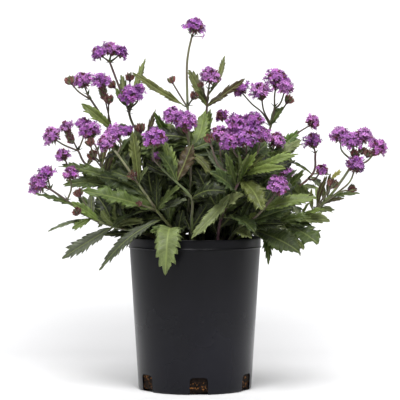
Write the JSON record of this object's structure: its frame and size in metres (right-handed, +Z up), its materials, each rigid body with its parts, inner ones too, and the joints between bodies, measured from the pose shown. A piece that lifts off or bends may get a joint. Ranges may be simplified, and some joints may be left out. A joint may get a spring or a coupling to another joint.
{
  "type": "potted flowering plant",
  "caption": "Upright purple verbena with toothed leaves and domed flower heads on branching stalks, rooted in a round black nursery pot.",
  "frame": {"origin": "centre of the flat underside of the pot, on the ground", "axes": "+Z up the pot's axis, -Y towards the front, +X to the right seen from the front"},
  "size_m": [0.4387, 0.2647, 0.4593],
  "materials": {
    "pot_plastic": "satin black moulded plastic",
    "potting_mix": "rough dark brown peat and bark",
    "foliage": "rough hairy green leaf, matt with a faint sheen",
    "flower": "soft violet petals, matt"
  },
  "bodies": {
    "root": {"bloom_back_a": "flower", "bloom_back_b": "flower", "bloom_back_left_a": "flower", "bloom_back_left_b": "flower", "bloom_back_right_a": "flower", "bloom_back_right_b": "flower", "bloom_crown_left_a": "flower", "bloom_crown_left_b": "flower", "bloom_far_left_a": "flower", "bloom_far_left_b": "flower", "bloom_far_right_a": "flower", "bloom_far_right_b": "flower", "bloom_far_right_c": "flower", "bloom_front_centre_a": "flower", "bloom_front_cluster_a": "flower", "bloom_front_cluster_b": "flower", "bloom_front_left_a": "flower", "bloom_front_left_b": "flower", "bloom_front_right_a": "flower", "bloom_inner_left_a": "flower", "bloom_left_back_a": "flower", "bloom_left_back_b": "flower", "bloom_left_back_c": "flower", "bloom_left_back_d": "flower", "bloom_left_front_a": "flower", "bloom_left_mid_a": "flower", "bloom_left_top_a": "flower", "bloom_left_top_b": "flower", "bloom_right_back_a": "flower", "bloom_right_back_b": "flower", "bloom_right_mid_a": "flower", "bloom_right_mid_b": "flower", "bloom_right_mid_c": "flower", "bloom_right_top_a": "flower", "bloom_right_top_b": "flower", "bloom_right_top_c": "flower", "bloom_tallest_a": "flower", "bloom_upright_a": "flower", "pot": "pot_plastic", "potting_mix": "potting_mix", "stem_back": "foliage", "stem_back_left": "foliage", "stem_back_right": "foliage", "stem_crown_left": "foliage", "stem_far_left": "foliage", "stem_far_right": "foliage", "stem_front_centre": "foliage", "stem_front_cluster": "foliage", "stem_front_left": "foliage", "stem_front_right": "foliage", "stem_inner_left": "foliage", "stem_left_back": "foliage", "stem_left_front": "foliage", "stem_left_mid": "foliage", "stem_left_top": "foliage", "stem_right_back": "foliage", "stem_right_mid": "foliage", "stem_right_top": "foliage", "stem_tallest": "foliage", "stem_upright": "foliage"}
  },
  "joints": []
}
